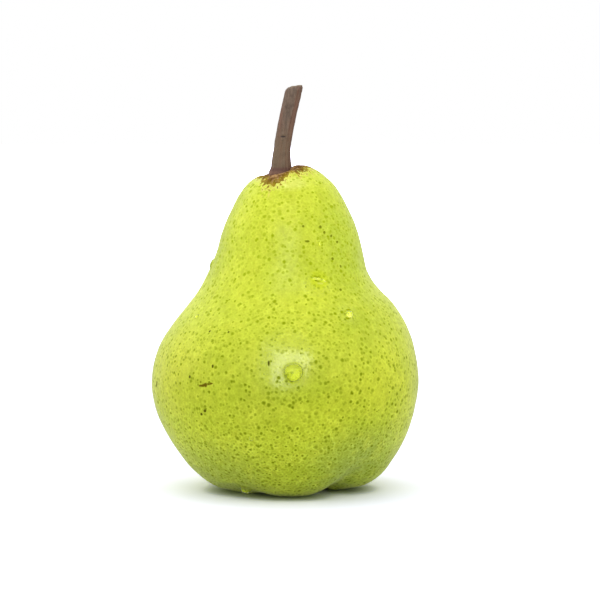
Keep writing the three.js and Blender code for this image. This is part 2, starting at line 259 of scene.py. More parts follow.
# Cork lies round the stem out to this radius, and further in tongues: direction and half width in degrees
# round the centre from +X, and how much further. A narrow ring of it lies round the calyx.
CORK_REACH = 6.4
# Front, right, front right, back and back left:
CORK_TONGUES = [(-105, 23, 4.4), (-24, 46, 1.7), (-58, 3, 1.2), (75, 20, 1.8), (140, 14, 1.0)]
CALYX_CORK = 4.6
CORK_LEAST = -5  # depths outside the cork's edge are cut off here
CORK_STROKE, CORK_CRUMB = 0.45, 0.9  # width of the strokes that break the edge, and of the crumbs
CORK_BREAK = 1.7  # how far a stroke moves the edge
# Depths over which the golden band outside the cork, the cork and its thick part begin.
GOLD_EDGE, CORK_EDGE, THICK_EDGE = (-1.6, -0.2), (-0.3, 0.4), (0.8, 3.4)
GOLD_STRENGTH = 0.6
CORK_GOLD = "#efe568"  # the skin just outside the edge
CORK_THIN, CORK_THICK = ("#74590c", "#a48c26"), ("#75522c", "#b48e5e")  # darker and paler crumbs of each

# The wax: its roughness and its gloss when dry and under a film of water, and on what is dull.
ROUGH_DRY, ROUGH_WET, ROUGH_PORE, ROUGH_CORK = 0.42, 0.21, 0.5, 0.8
GLOSS_DRY, GLOSS_WET, GLOSS_DULL = 0.28, 0.5, 0.03
BLOOM = 0.15  # sheen of the wax bloom
FILM_EDGE = (0.2, 0.8)  # how strong a film has to be to begin to show, and to show fully
PLANT_IOR = 1.45
FLESH_GLOW = (1.0, 0.9, 0.25)  # how far red, green and blue light get in the flesh, as shares of this:
FLESH_REACH = 1.5

# ---- colours of the stem ----
BARK_PATTERNS = {"fibre": (0.55, 4), "broad": (2.0, 2)}  # along the stem, as SKIN_PATTERNS
BARK_SQUEEZE = 0.12  # their width over their length
GRIME_SIZE = 1.6
FIBRE_DARK, FIBRE_PALE = "#685546", "#7e6858"
BROAD_RED, GRIME_BROWN, FLANK_RED_SHADE, SCAR_BROWN = "#7c5542", "#533f32", "#613e2c", "#43322a"
WOOD_DARK, WOOD_PALE = "#5d4b3a", "#a48f70"
# Bands of another colour low on the stem: the heights where each is gone and full, its strength and colour.
BARK_BANDS = [
    (97, 88, 0.6, "#766146"),  # olive towards the fruit
    (84.3, 83.5, 0.85, "#643f34"),  # dark red foot
    (83.3, 82.6, 0.7, "#8a6450"),  # paler heel
]
CUT_HEIGHTS = (100, 102)  # the cut end begins and is full

# ---- colours of the calyx ----
SEPAL_REACH = 2.5  # where the spacing of the veins is measured
VEIN_SPACING = 0.35
SEPAL_MOTTLE = 1.2
SEPAL_DARK, SEPAL_PALE, VEIN_BUFF = "#3d2b1e", "#7a6044", "#a08a62"

# ---- water ----
WATER_IOR = 1.33

# Where a film of water lies on the wax, and how strong it is.
FILMS = [
    spot("belly", (0.2, -33.0, 38.0), (8.8, 8, 10.5), strength=1.0),
    spot("waist", (8.0, -20.0, 54.8), (5, 4, 4), strength=0.8),
    spot("shoulder", (16.1, -22.0, 47.5), (4, 4, 4), strength=0.7),
    spot("back", (9.0, 27.0, 45.0), (6, 6, 7), strength=0.8),
]

# Drops and runs of water, and the painted light and shade that their glow and lens put on the skin.
DROPS = [
    drop("large", (2.06, -33.9, 34.3), wide=4.6, long=4.5, tall=1.7, glow=-0.22, lens=0.7),
    drop("shoulder", (16.12, -21.9, 47.6), wide=2.3, long=2.2, tall=0.95, glow=0.25, lens=1.2),
    drop("waist streak", (8.6, -18.9, 56.2), wide=4.2, long=0.9, tall=0.3, turn=-14),
    drop("neck", (8.8, -16.2, 65.1), wide=1.0, long=1.1, tall=0.35, lens=0.4),
    drop("left", (-22.5, -14.3, 46.4), wide=1.3, long=1.3, tall=0.45, glow=0.1, lens=0.6),
    drop("left edge", (-18.8, -1.9, 59.0), wide=1.6, long=3.0, tall=0.6, glow=0.06),
    drop("low front", (-8.0, -30.0, 18.0), wide=1.2, long=1.3, tall=0.4, glow=0.1, lens=0.6),
    drop("hanging", (-10.0, -16.0, 2.3), wide=3.6, long=2.6, tall=1.3, lens=0.3),
    drop("back shoulder", (9.0, 27.0, 46.0), wide=2.6, long=2.9, tall=0.9, turn=10, glow=0.1, lens=0.9),
    drop("back neck", (-7.0, 15.0, 66.0), wide=1.4, long=1.6, tall=0.5, glow=0.1, lens=0.6),
]
DROP_SINK = 0.12  # how deep a drop's flat base lies under the skin
DROP_WOBBLE = 0.12  # how far a drop's outline is from an ellipse, as a share
DROP_WAVES, DROP_VARIETY = 1.1, 0.3  # how finely it wavers, and how much that differs between drops
DROP_EDGE = 50  # the angle in degrees from which a drop's edge is sharp
# Where a film begins and is full, as TINT_EDGE, and a drop's painted light and its cover, as shares of its
# width.
FILM_RIM, DROP_LIGHT_RIM, DROP_RIM = (1, 0.6), (0.62, 0.35), (0.7, 0.5)
LENS_ASLANT = 0.3  # how much of a drop's painted light shifts towards +X


def mm(*values):
    """A point in metres from millimetres."""
    return Vector(values) * MM


def paint(code):
    """A linear colour from an sRGB hex code."""
    channels = [int(code[i : i + 2], 16) / 255 for i in (1, 3, 5)]
    linear = [c / 12.92 if c <= 0.04045 else ((c + 0.055) / 1.055) ** 2.4 for c in channels]
    return (*linear, 1)


def fade(low, high, value):
    """0 up to low, 1 from high on, smooth between."""
    t = min(max((value - low) / (high - low), 0), 1)
    return t * t * (3 - 2 * t)


# ---- modelling helpers ----


def deselect_all():
    """Leaves edit mode, with nothing selected."""
    active = bpy.context.view_layer.objects.active
    if active is not None and active.mode != "OBJECT":
        bpy.ops.object.mode_set(mode="OBJECT")
    bpy.ops.object.select_all(action="DESELECT")


def take_up(piece):
    """Makes the piece the only selected one."""
    deselect_all()
    bpy.context.view_layer.objects.active = piece
    piece.select_set(True)


def edit(piece):
    """Opens the piece in edit mode with nothing selected."""
    take_up(piece)
    bpy.ops.object.mode_set(mode="EDIT")
    bpy.ops.mesh.select_all(action="DESELECT")


def pick(piece, kind, test):
    """Selects, in edit mode, the piece's EDGE or FACE elements that pass the test."""
    bpy.ops.mesh.select_mode(type=kind)
    bpy.ops.mesh.select_all(action="DESELECT")
    mesh = bmesh.from_edit_mesh(piece.data)
    for element in {"EDGE": mesh.edges, "FACE": mesh.faces}[kind]:
        if test(element):
            element.select_set(True)
    mesh.select_flush_mode()
    bmesh.update_edit_mesh(piece.data)


MERGE = 0.004  # points this near are one


def copy_of_node(node, name):
    """A copy of a CAD node as one merged skin of quads, free of the node's own marks."""
    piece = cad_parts[node].copy()
    piece.data = piece.data.copy()
    piece.parent = None
    piece.name = piece.data.name = name
    for key in list(piece.keys()):
        del piece[key]
    piece.data.materials.clear()
    bpy.context.scene.collection.objects.link(piece)
    edit(piece)
    bpy.ops.mesh.select_all(action="SELECT")
    bpy.ops.mesh.remove_doubles(threshold=MERGE * MM)
    bpy.ops.mesh.tris_convert_to_quads(face_threshold=math.radians(50), shape_threshold=math.radians(60))
    bpy.ops.mesh.normals_make_consistent(inside=False)
    bpy.ops.object.mode_set(mode="OBJECT")
    for name in [a.name for a in piece.data.attributes if a.name.startswith("custom_normal")]:
        piece.data.attributes.remove(piece.data.attributes[name])
    return piece


def subdivide_smooth(piece, levels):
    """Rounds the piece with an applied subdivision surface."""
    take_up(piece)
    rounding = piece.modifiers.new("rounding", "SUBSURF")
    rounding.levels = rounding.render_levels = levels
    bpy.ops.object.modifier_apply(modifier=rounding.name)
    bpy.ops.object.shade_smooth()


def sculpt(piece, move):
    """Moves every vertex by move(place, normal), which works in millimetres and returns an offset."""
    mesh = piece.data
    offsets = [move(v.co / MM, v.normal.copy()) for v in mesh.vertices]
    for vertex, offset in zip(mesh.vertices, offsets):
        vertex.co += offset * MM
    mesh.update()


def hand_in(piece, material, node=None):
    """Finishes a piece: its material, what it rides on and the node it stands for."""
    piece.data.materials.append(material)
    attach(piece, "root")
    if node:
        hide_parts(node)


# ---- shader helpers ----


def add_node(tree, kind, settings=None, inputs=None, out=0):
    """Adds a shader node with its settings. Each input is linked to a socket or set to a value.

    Returns one of the node's outputs, the first unless another is named."""
    node = tree.nodes.new("ShaderNode" + kind)
    for key, value in (settings or {}).items():
        setattr(node, key, value)
    for key, value in (inputs or {}).items():
        if isinstance(value, bpy.types.NodeSocket):
            tree.links.new(value, node.inputs[key])
        else:
            node.inputs[key].default_value = value
    return node.outputs[out] if node.outputs else None


def new_material(name):
    """An empty node material, and add_node for its tree."""
    material = bpy.data.materials.new(name)
    material.use_nodes = True
    material.node_tree.nodes.clear()
    return material, partial(add_node, material.node_tree)


# Settings of the Math and VectorMath nodes. TIMES_PLUS is input 0 times 1 plus 2.
PLUS, MINUS, TIMES = {"operation": "ADD"}, {"operation": "SUBTRACT"}, {"operation": "MULTIPLY"}
TIMES_PLUS, LARGER = {"operation": "MULTIPLY_ADD"}, {"operation": "MAXIMUM"}
# Sockets of the Mix node when it blends colours: factor 0, first 6, second 7, result 2.
BLEND = {"data_type": "RGBA"}
MULTIPLY = {"data_type": "RGBA", "blend_type": "MULTIPLY"}
# Sockets of the MapRange node: value 0, from 1 and 2, to 3 and 4, which are 0 and 1 unless set.
SMOOTH = {"interpolation_type": "SMOOTHSTEP"}


def span(ends, unit=1.0):
    """The two ends that a MapRange node goes from."""
    return {1: ends[0] * unit, 2: ends[1] * unit}


def per_metre(wavelength):
    """A texture scale whose features are about this many millimetres apart."""
    return 1 / (wavelength * MM)


def add_reach(add, place, patch):
    """How far the place is from a spot's middle, where 1 is the edge of its ellipsoid."""
    turn = Matrix.Rotation(math.radians(patch.get("tilt", 0)), 3, "Y")
    shift = -(turn @ mm(*patch["at"]))
    inputs = {"Vector": place, "Location": shift, "Rotation": turn.to_euler()}
    local = add("Mapping", {"label": patch["name"]}, inputs)
    sized = add("VectorMath", {"operation": "DIVIDE"}, {0: local, 1: mm(*patch["half"])})
    return add("VectorMath", {"operation": "LENGTH"}, {0: sized}, "Value")


def add_way_out(add, place, centre, reach):
    """The level vector from an upright line to the place, and the same brought to a length."""
    out = add("VectorMath", MINUS, {0: place, 1: mm(*centre, 0)})
    out = add("VectorMath", TIMES, {0: out, 1: (1, 1, 0)})
    way = add("VectorMath", {"operation": "NORMALIZE"}, {0: out})
    way = add("VectorMath", {"operation": "SCALE"}, {0: way, "Scale": reach * MM})
    return out, way


def add_light(add, colour, light):
    """The colour times the light. Lighter skin is paler too: its blue rises three times as fast."""
    blue = add("Math", {"operation": "POWER"}, {0: light, 1: 3.0})
    gain = add("CombineXYZ", None, {0: light, 1: light, 2: blue})
    return add("VectorMath", TIMES, {0: colour, 1: gain})


# ---- the skin's material ----


def add_ground(add, place, height, patterns):
    """The skin's colour between its pores: tinted flanks, clouds, blotches and uneven light."""
    rise = add("MapRange", SMOOTH, {0: height, **span(SKIN_TURN, MM)})
    ground = add("Mix", BLEND, {0: rise, 6: paint(SKIN_LOW), 7: paint(SKIN_HIGH)}, 2)
    for tint in TINTS:
        reach = add_reach(add, place, tint)
        reach = add("MapRange", SMOOTH, {0: reach, **span(TINT_EDGE)})
        ground = add("Mix", MULTIPLY, {0: reach, 6: ground, 7: (*tint["gain"], 1)}, 2)
    for pattern, start, end, strength, code in (
        ("clouds", 0.42, 0.7, 0.28, CLOUD_GREEN),
        ("blotches", 0.48, 0.68, 0.24, BLOTCH_YELLOW),
    ):
        mask = add("MapRange", SMOOTH, {0: patterns[pattern], 1: start, 2: end, 4: strength})
        ground = add("Mix", BLEND, {0: mask, 6: ground, 7: paint(code)}, 2)
    # the light swings up and down by these shares, less so on the neck
    upright = add("Mapping", None, {"Vector": place, "Scale": (1, 1, STREAK_SQUEEZE)})
    streaks = add("TexNoise", None, {"Vector": upright, "Scale": per_metre(STREAK_WIDTH), "Detail": 3.0})
    light = 1.0
    for pattern, swing in ((streaks, 0.06), (patterns["mottling"], 0.13), (patterns["grain"], 0.08)):
        part = add("MapRange", None, {0: pattern, **span(NOISE), 3: 1 - swing, 4: 1 + swing})
        light = add("Math", TIMES, {0: light, 1: part})
    uneven = add("MapRange", SMOOTH, {0: height, **span(UNEVEN_TURN, MM), 3: NECK_UNEVEN, 4: 1.0})
    light = add("Mix", None, {0: uneven, 2: 1.0, 3: light})
    return add_light(add, ground, light)


def add_pores(add, place, normal, sort, share):
    """Dots over the skin, and the rings round them: one in each cell whose point lies near the skin.

    The point is dropped straight onto the skin, so every dot is round. One far off the skin is faint.
    The share is how much of them is seen."""
    spacing = sort["spacing"]
    cells = add("TexVoronoi", {"feature": "F1"}, {"Vector": place, "Scale": per_metre(spacing)}, "Color")
    chance = add("SeparateColor", None, {0: cells}).node.outputs
    away = add("VectorMath", MINUS, {0: cells.node.outputs["Position"], 1: place})
    depth = add("VectorMath", {"operation": "DOT_PRODUCT"}, {0: away, 1: normal}, "Value")
    depth2 = add("Math", TIMES, {0: depth, 1: depth})
    away2 = add("VectorMath", {"operation": "DOT_PRODUCT"}, {0: away, 1: away}, "Value")
    flat2 = add("Math", MINUS, {0: away2, 1: depth2})
    flat = add("Math", {"operation": "SQRT"}, {0: flat2})
    size = add("MapRange", None, {0: chance[0], 3: PORE_SIZES[0], 4: PORE_SIZES[1]})
    sized = add("Math", {"operation": "DIVIDE"}, {0: flat, 1: size})
    near = add("Math", {"operation": "ABSOLUTE"}, {0: depth})
    near = add("MapRange", SMOOTH, {0: near, **span(PORE_DEPTHS, spacing * MM)})
    near = add("Math", TIMES, {0: near, 1: share})
    deep = add("MapRange", None, {0: chance[1], 3: PORE_FAINTEST, 4: 1.0})
    deep = add("Math", TIMES, {0: deep, 1: near})
    dot = add("MapRange", SMOOTH, {0: sized, 1: sort["end"] * MM, 2: sort["full"] * MM})
    ring = add("MapRange", SMOOTH, {0: sized, 1: sort["ring"] * MM, 2: sort["end"] * MM})
    dot = add("Math", TIMES, {0: dot, 1: deep})
    ring = add("Math", TIMES, {0: ring, 1: near})
    return dot, ring


def add_pore_layers(add, place, normal, height, patterns, ground):
    """The ground with both sizes of breathing pores, a little ragged, and where the dots are."""
    ragged = add("TexNoise", None, {"Vector": place, "Scale": per_metre(PORE_RAGGED)}, "Color")
    ragged = add("VectorMath", MINUS, {0: ragged, 1: (0.5, 0.5, 0.5)})
    ragged = add("VectorMath", {"operation": "SCALE"}, {0: ragged, "Scale": PORE_SHIFT * MM})
    loose = add("VectorMath", PLUS, {0: place, 1: ragged})
    # the small ones crowd together towards the foot, in patches 11 mm across and on the right of the neck
    crowd = add("MapRange", SMOOTH, {0: height, **span(CROWD_TURN, MM)})
    patch = add("MapRange", SMOOTH, {0: patterns["crowding"], 1: 0.5, 2: 0.62, 3: 0.2, 4: 0.7})
    beside = add("MapRange", SMOOTH, {0: add_reach(add, place, CROWD), 1: 1.0, 2: 0.6, 4: 0.8})
    for more in (patch, beside):
        crowd = add("Math", LARGER, {0: crowd, 1: more})
    dot = ring = 0.0
    for sort, share in ((LARGE_PORES, 1.0), (SMALL_PORES, crowd)):
        dots, rings = add_pores(add, loose, normal, sort, share)
        dot = add("Math", LARGER, {0: dot, 1: dots})
        ring = add("Math", LARGER, {0: ring, 1: rings})
    net = add("MapRange", SMOOTH, {0: height, **span(NET_TURN, MM), 3: NECK_RINGS, 4: 1.0})
    ring = add("Math", TIMES, {0: ring, 1: net})
    ring_light = add("MapRange", None, {0: ring, 3: 1.0, 4: RING_LIGHT})
    ground = add_light(add, ground, ring_light)
    low = add("MapRange", SMOOTH, {0: height, **span(PORE_TURN, MM)})
    colour = add("Mix", BLEND, {0: low, 6: paint(PORE_HIGH), 7: paint(PORE_LOW)}, 2)
    return add("Mix", BLEND, {0: dot, 6: ground, 7: colour}, 2), dot


def add_drop_light(add, ground):
    """The ground with painted light low on the skin under a drop, and painted shade high on it."""
    # the wet attribute holds the drops' painted light and painted shade
    wet = add("Attribute", {"attribute_name": "wet"}, out="Fac")
    for full, code in ((1.0, PAINTED_WATER_LIGHT), (-1.0, PAINTED_WATER_SHADE)):
        share = add("MapRange", None, {0: wet, 1: 0.0, 2: full})
        ground = add("Mix", BLEND, {0: share, 6: ground, 7: paint(code)}, 2)
    return ground


def add_cork(add, place, ground):
    """The ground with the cork on it, where the cork is, and its crumbs.

    The mesh carries how many millimetres inside the cork's edge it is. Strokes that run out from the stem
    break that edge."""
    depth = add("Attribute", {"attribute_name": "cork_depth"}, out="Fac")
    out, way = add_way_out(add, place, STEM_CENTRE, CORK_REACH)
    away = add("VectorMath", {"operation": "LENGTH"}, {0: out}, "Value")
    # strokes twice as long as they are wide
    away = add("Math", TIMES, {0: away, 1: 0.5})
    away = add("CombineXYZ", None, {2: away})
    runs = add("VectorMath", PLUS, {0: way, 1: away})
    crumbs = add("TexNoise", None, {"Vector": runs, "Scale": per_metre(CORK_STROKE), "Detail": 4.0})
    crumbs = add("MapRange", {"clamp": False}, {0: crumbs, **span(NOISE), 3: -CORK_BREAK, 4: CORK_BREAK})
    depth = add("Math", PLUS, {0: depth, 1: crumbs})
    golden = add("MapRange", SMOOTH, {0: depth, **span(GOLD_EDGE), 4: GOLD_STRENGTH})
    ground = add("Mix", BLEND, {0: golden, 6: ground, 7: paint(CORK_GOLD)}, 2)
    # olive gold at the edge, rosy brown by the stem
    pale = add("TexNoise", None, {"Vector": runs, "Scale": per_metre(CORK_CRUMB), "Detail": 3.0})
    pale = add("MapRange", SMOOTH, {0: pale, 1: 0.38, 2: 0.62})
    thin, thick = (
        add("Mix", BLEND, {0: pale, 6: paint(darker), 7: paint(paler)}, 2)
        for darker, paler in (CORK_THIN, CORK_THICK)
    )
    inner = add("MapRange", SMOOTH, {0: depth, **span(THICK_EDGE)})
    colour = add("Mix", BLEND, {0: inner, 6: thin, 7: thick}, 2)
    cork = add("MapRange", SMOOTH, {0: depth, **span(CORK_EDGE)})
    ground = add("Mix", BLEND, {0: cork, 6: ground, 7: colour}, 2)
    return ground, cork, crumbs


def add_marks(add, place, patterns, ground):
    """The ground with the single marks, each with a ragged edge, and where they are."""
    flecks = 0.0
    for mark in MARKS:
        far = add_reach(add, place, mark)
        far = add("Math", PLUS, {0: far, 1: patterns["fraying"]})
        mask = add("MapRange", SMOOTH, {0: far, **span(MARK_EDGE)})
        flecks = add("Math", LARGER, {0: flecks, 1: mask})
        ground = add("Mix", BLEND, {0: mask, 6: ground, 7: paint(mark["colour"])}, 2)
    return ground, flecks


def make_skin_material():
    """Waxy skin of a ripe green pear: a grown cuticle over green flesh, close set with breathing pores.

    The eye sees yellow green with small olive dots in paler rings, cork on the crown and a soft sheen."""
    material, add = new_material("waxy_green_pear_skin")
    place = add("TexCoord", out="Object")
    normal = add("TexCoord", out="Normal")
    height = add("SeparateXYZ", None, {0: place}, "Z")
    patterns = {
        name: add(
            "TexNoise", {"label": name}, {"Vector": place, "Scale": per_metre(apart), "Detail": detail}
        )
        for name, (apart, detail) in SKIN_PATTERNS.items()
    }
    ground = add_ground(add, place, height, patterns)
    ground, dot = add_pore_layers(add, place, normal, height, patterns, ground)
    ground = add_drop_light(add, ground)
    ground, cork, crumbs = add_cork(add, place, ground)
    ground, flecks = add_marks(add, place, patterns, ground)

    # the wax is satin, smoother where a film of water lies on it, and rougher on pores and cork
    film = add("Attribute", {"attribute_name": "film"}, out="Fac")
    frayed = add("MapRange", None, {0: patterns["mottling"], **span(NOISE), 3: -0.3, 4: 0.3})
    film = add("Math", PLUS, {0: film, 1: frayed})
    film = add("MapRange", SMOOTH, {0: film, **span(FILM_EDGE)})
    rough = add("Mix", None, {0: film, 2: ROUGH_DRY, 3: ROUGH_WET})
    rough = add("Mix", None, {0: dot, 2: rough, 3: ROUGH_PORE})
    rough = add("Mix", None, {0: cork, 2: rough, 3: ROUGH_CORK})

    # pores, marks, cork and what lies under a drop are dull
    covered = add("Attribute", {"attribute_name": "covered"}, out="Fac")
    dull = dot
    for more in (flecks, cork, covered):
        dull = add("Math", LARGER, {0: dull, 1: more})
    gloss = add("Mix", None, {0: film, 2: GLOSS_DRY, 3: GLOSS_WET})
    gloss = add("Mix", None, {0: dull, 2: gloss, 3: GLOSS_DULL})
    bloom = add("Mix", None, {0: dull, 2: BLOOM, 3: 0.0})

    # relief: pores stand a little proud, the cuticle is finely pebbled and cork is crumbly
    relief = add("Math", TIMES_PLUS, {0: patterns["pebbles"], 1: 1.5, 2: dot})
    corky = add("Math", TIMES, {0: cork, 1: crumbs})
    relief = add("Math", TIMES_PLUS, {0: corky, 1: 3.0, 2: relief})
    bump = add("Bump", None, {"Strength": 0.6, "Distance": 0.04 * MM, "Height": relief})

    skin = add(
        "BsdfPrincipled",
        {"subsurface_method": "RANDOM_WALK"},
        {
            "Base Color": ground,
            "Roughness": rough,
            "IOR": PLANT_IOR,
            "Specular IOR Level": gloss,
            "Normal": bump,
            "Sheen Weight": bloom,
            "Sheen Roughness": 0.4,
            "Subsurface Weight": 0.1,
            "Subsurface Radius": FLESH_GLOW,
            "Subsurface Scale": FLESH_REACH * MM,
        },
    )
    add("OutputMaterial", None, {"Surface": skin})
    return material


# ---- the other materials ----


def make_bark_material():
    """Dry bark of a pear stem: grown as a stalk and weathered, with fibres along it.

    The eye sees matt grey brown with paler and redder streaks along it, and pale wood on the cut end."""
    material, add = new_material("dry_stem_bark")
    place = add("TexCoord", out="Object")
    normal = add("TexCoord", out="Normal")
    height = add("SeparateXYZ", None, {0: place}, "Z")
    facing = add("SeparateXYZ", None, {0: normal}).node.outputs
    along = add("Mapping", None, {"Vector": place, "Scale": (1, 1, BARK_SQUEEZE)})
    fibre, broad = (
        add("TexNoise", None, {"Vector": along, "Scale": per_metre(apart), "Detail": detail})
        for apart, detail in BARK_PATTERNS.values()
    )
    fibre = add("MapRange", SMOOTH, {0: fibre, 1: 0.35, 2: 0.65})
    grime = add("TexNoise", None, {"Vector": place, "Scale": per_metre(GRIME_SIZE), "Detail": 4.0})
    scar = add_reach(add, place, SCAR)

    colour = add("Mix", BLEND, {0: fibre, 6: paint(FIBRE_DARK), 7: paint(FIBRE_PALE)}, 2)
    layers = [(broad, 0.48, 0.66, 0.7, BROAD_RED), (grime, 0.5, 0.3, 0.6, GRIME_BROWN)]
    layers += [(height, gone * MM, full * MM, strength, code) for gone, full, strength, code in BARK_BANDS]
    # redder and darker on the flank towards +X, partly the bark's own red and partly painted shade, and the
    # scar over all
    layers += [(facing["X"], 0.35, 0.95, 0.72, FLANK_RED_SHADE), (scar, 1.2, 0.6, 1.0, SCAR_BROWN)]
    for pattern, gone, full, strength, code in layers:
        mask = add("MapRange", SMOOTH, {0: pattern, 1: gone, 2: full, 4: strength})
        colour = add("Mix", BLEND, {0: mask, 6: colour, 7: paint(code)}, 2)
    # wood on the cut end: what faces up at the top
    top = add("MapRange", SMOOTH, {0: facing["Z"], 1: 0.75, 2: 0.93})
    high = add("MapRange", SMOOTH, {0: height, **span(CUT_HEIGHTS, MM)})
    cut = add("Math", TIMES, {0: top, 1: high})
    wood = add("Mix", BLEND, {0: grime, 6: paint(WOOD_DARK), 7: paint(WOOD_PALE)}, 2)
    colour = add("Mix", BLEND, {0: cut, 6: colour, 7: wood}, 2)

    relief = add("Math", TIMES_PLUS, {0: grime, 1: 0.8, 2: fibre})
    bump = add("Bump", None, {"Strength": 0.7, "Distance": 0.1 * MM, "Height": relief})
    bark = add(
        "BsdfPrincipled", None, {"Base Color": colour, "Roughness": 0.75, "IOR": PLANT_IOR, "Normal": bump}
    )
    add("OutputMaterial", None, {"Surface": bark})
    return material


def make_sepal_material():
    """Withered sepals: leaf tissue dried to brown paper, with veins along each blade.

    The eye sees dull dark brown with paler fibres."""
    material, add = new_material("withered_sepal")
    place = add("TexCoord", out="Object")
    mottle = add("TexNoise", None, {"Vector": place, "Scale": per_metre(SEPAL_MOTTLE), "Detail": 4.0})
    mottle = add("MapRange", SMOOTH, {0: mottle, 1: 0.35, 2: 0.65})
    colour = add("Mix", BLEND, {0: mottle, 6: paint(SEPAL_DARK), 7: paint(SEPAL_PALE)}, 2)
    # the blades run out from the calyx, so veins are lines of one direction from its centre
    _, way = add_way_out(add, place, CALYX_CENTRE, SEPAL_REACH)
    vein = add("TexNoise", None, {"Vector": way, "Scale": per_metre(VEIN_SPACING), "Detail": 1.0})
    vein = add("MapRange", SMOOTH, {0: vein, 1: 0.42, 2: 0.62})
    fibres = add("Math", TIMES, {0: vein, 1: 0.55})
    colour = add("Mix", BLEND, {0: fibres, 6: colour, 7: paint(VEIN_BUFF)}, 2)
    relief = add("Math", PLUS, {0: mottle, 1: vein})
    bump = add("Bump", None, {"Strength": 0.7, "Distance": 0.1 * MM, "Height": relief})
    sepal = add(
        "BsdfPrincipled", None, {"Base Color": colour, "Roughness": 0.85, "IOR": PLANT_IOR, "Normal": bump}
    )
    add("OutputMaterial", None, {"Surface": sepal})
    return material


def make_water_material():
    """Clean water: drops held up by the wax, whose tops ripple too finely to mirror a lamp sharply.

    The eye sees clear domes with a brighter rim."""
    material, add = new_material("clear_water")
    white = paint("#ffffff")
    clear = add("BsdfRefraction", None, {"Color": white, "Roughness": 0.0, "IOR": WATER_IOR})
    mirror = add("BsdfAnisotropic", None, {"Color": white, "Roughness": 0.5})
    edge = add("Fresnel", None, {"IOR": WATER_IOR})
    water = add("MixShader", None, {0: edge, 1: clear, 2: mirror})
    add("OutputMaterial", None, {"Surface": water})
    return material


def make_floor_material():
    """Matt white background paper, laid flat: pressed from bleached pulp, with a fine tooth.

    The eye sees plain white, greyer near the pear and a painted dark green shade in the gap under it."""
    material, add = new_material("white_background_paper")
    place = add("TexCoord", out="Object")
    tooth = add("TexNoise", None, {"Vector": place, "Scale": per_metre(1.5), "Detail": 2.0})
    bump = add("Bump", None, {"Strength": 0.05, "Distance": 0.02 * MM, "Height": tooth})
    far = add("VectorMath", {"operation": "LENGTH"}, {0: place}, "Value")
    looks = add("MapRange", SMOOTH, {0: far, **span(PAPER_TURN, MM), 3: PAPER_NEAR, 4: PAPER_FAR})
    blue = add("Math", TIMES, {0: looks, 1: PAPER_BRIGHTENER})
    looks = add("CombineColor", None, {0: looks, 1: looks, 2: blue})
    # painted shade in the gap under the fruit, tinted green like light thrown off the fruit
    gap = add("AmbientOcclusion", {"samples": 8}, {"Distance": GAP_REACH * MM}, "AO")
    gap = add("Mix", BLEND, {0: gap, 6: paint(GAP_SHADE_COLOUR), 7: paint("#ffffff")}, 2)
    looks = add("VectorMath", TIMES, {0: looks, 1: gap})
    # only the eye sees the paper so bright
    seen = add("LightPath", out="Is Camera Ray")
    bounce = (PAPER_BOUNCE, PAPER_BOUNCE, PAPER_BOUNCE, 1)
    shade = add("Mix", BLEND, {0: seen, 6: bounce, 7: looks}, 2)
    paper = add("BsdfDiffuse", None, {"Color": shade, "Normal": bump})
    add("OutputMaterial", None, {"Surface": paper})
    return material


# ---- pieces ----


def from_centre(point, centre):
    """How far a point in metres is from an upright line through a centre in millimetres."""
    return math.hypot(point.x / MM - centre[0], point.y / MM - centre[1])


def share_out(place, patch):
    """How far a place in millimetres is from a spot's middle, where 1 is the edge of its ellipsoid."""
    return Vector([(p - c) / h for p, c, h in zip(place, patch["at"], patch["half"])]).length


def roll_in(skin, wall, centre, radius, steps):
    """Cuts a hole's wall away, rolls the open rim inwards step by step and closes it."""
    pick(
        skin,
        "FACE",
        lambda f: wall(f.calc_center_median().z / MM)
        and from_centre(f.calc_center_median(), centre) < radius * RIM_SLACK,
    )
    bpy.ops.mesh.delete(type="FACE")
    pick(
        skin,
        "EDGE",
        lambda e: e.is_boundary and all(from_centre(v.co, centre) < radius * RIM_BAND for v in e.verts),
    )
    for share, climb in steps:
        bpy.ops.mesh.extrude_edges_move(TRANSFORM_OT_translate={"value": (0, 0, climb * MM)})
        bpy.ops.transform.resize(value=(share, share, 1), center_override=mm(*centre, 0))
    bpy.ops.mesh.edge_face_add()


def cork_depth(place):
    """How many millimetres inside the cork's edge a place is, less than 0 outside it."""
    if place.z < CROWN_FLOOR:
        return max(CORK_LEAST, CALYX_CORK - from_centre(place * MM, CALYX_CENTRE))
    across, along = place.x - STEM_CENTRE[0], place.y - STEM_CENTRE[1]
    reach = CORK_REACH
    for angle, half, further in CORK_TONGUES:
        turn = (math.degrees(math.atan2(along, across)) - angle + 180) % 360 - 180
        reach += further * math.exp(-((turn / half) ** 2))
    return max(CORK_LEAST, reach - math.hypot(across, along))


def swell(place, normal):
    """How the skin moves from its solid: lumps, single swellings, and wrinkles round the stem."""
    near_stem = from_centre(place * MM, STEM_CENTRE) if place.z > CROWN_FLOOR else math.inf
    calm = fade(*CALM_FOOT, place.z) * fade(*CALM_STEM, near_stem)
    rise = sum(high * noise.noise(place / wave) for wave, high in LUMPS) * calm
    rise += sum(s["rise"] * fade(1, 0, share_out(place, s)) for s in SWELLS)
    if near_stem < math.inf:
        angle = math.atan2(place.y - STEM_CENTRE[1], place.x - STEM_CENTRE[0])
        across, along = math.cos(angle) * WRINKLES_ROUND, math.sin(angle) * WRINKLES_ROUND
        wrinkle = noise.noise(Vector((across, along, near_stem * WRINKLE_WIND)))
        rise += WRINKLE_RISE * wrinkle * fade(*WRINKLE_END, near_stem) * fade(*WRINKLE_BEGIN, near_stem)
    return normal * rise


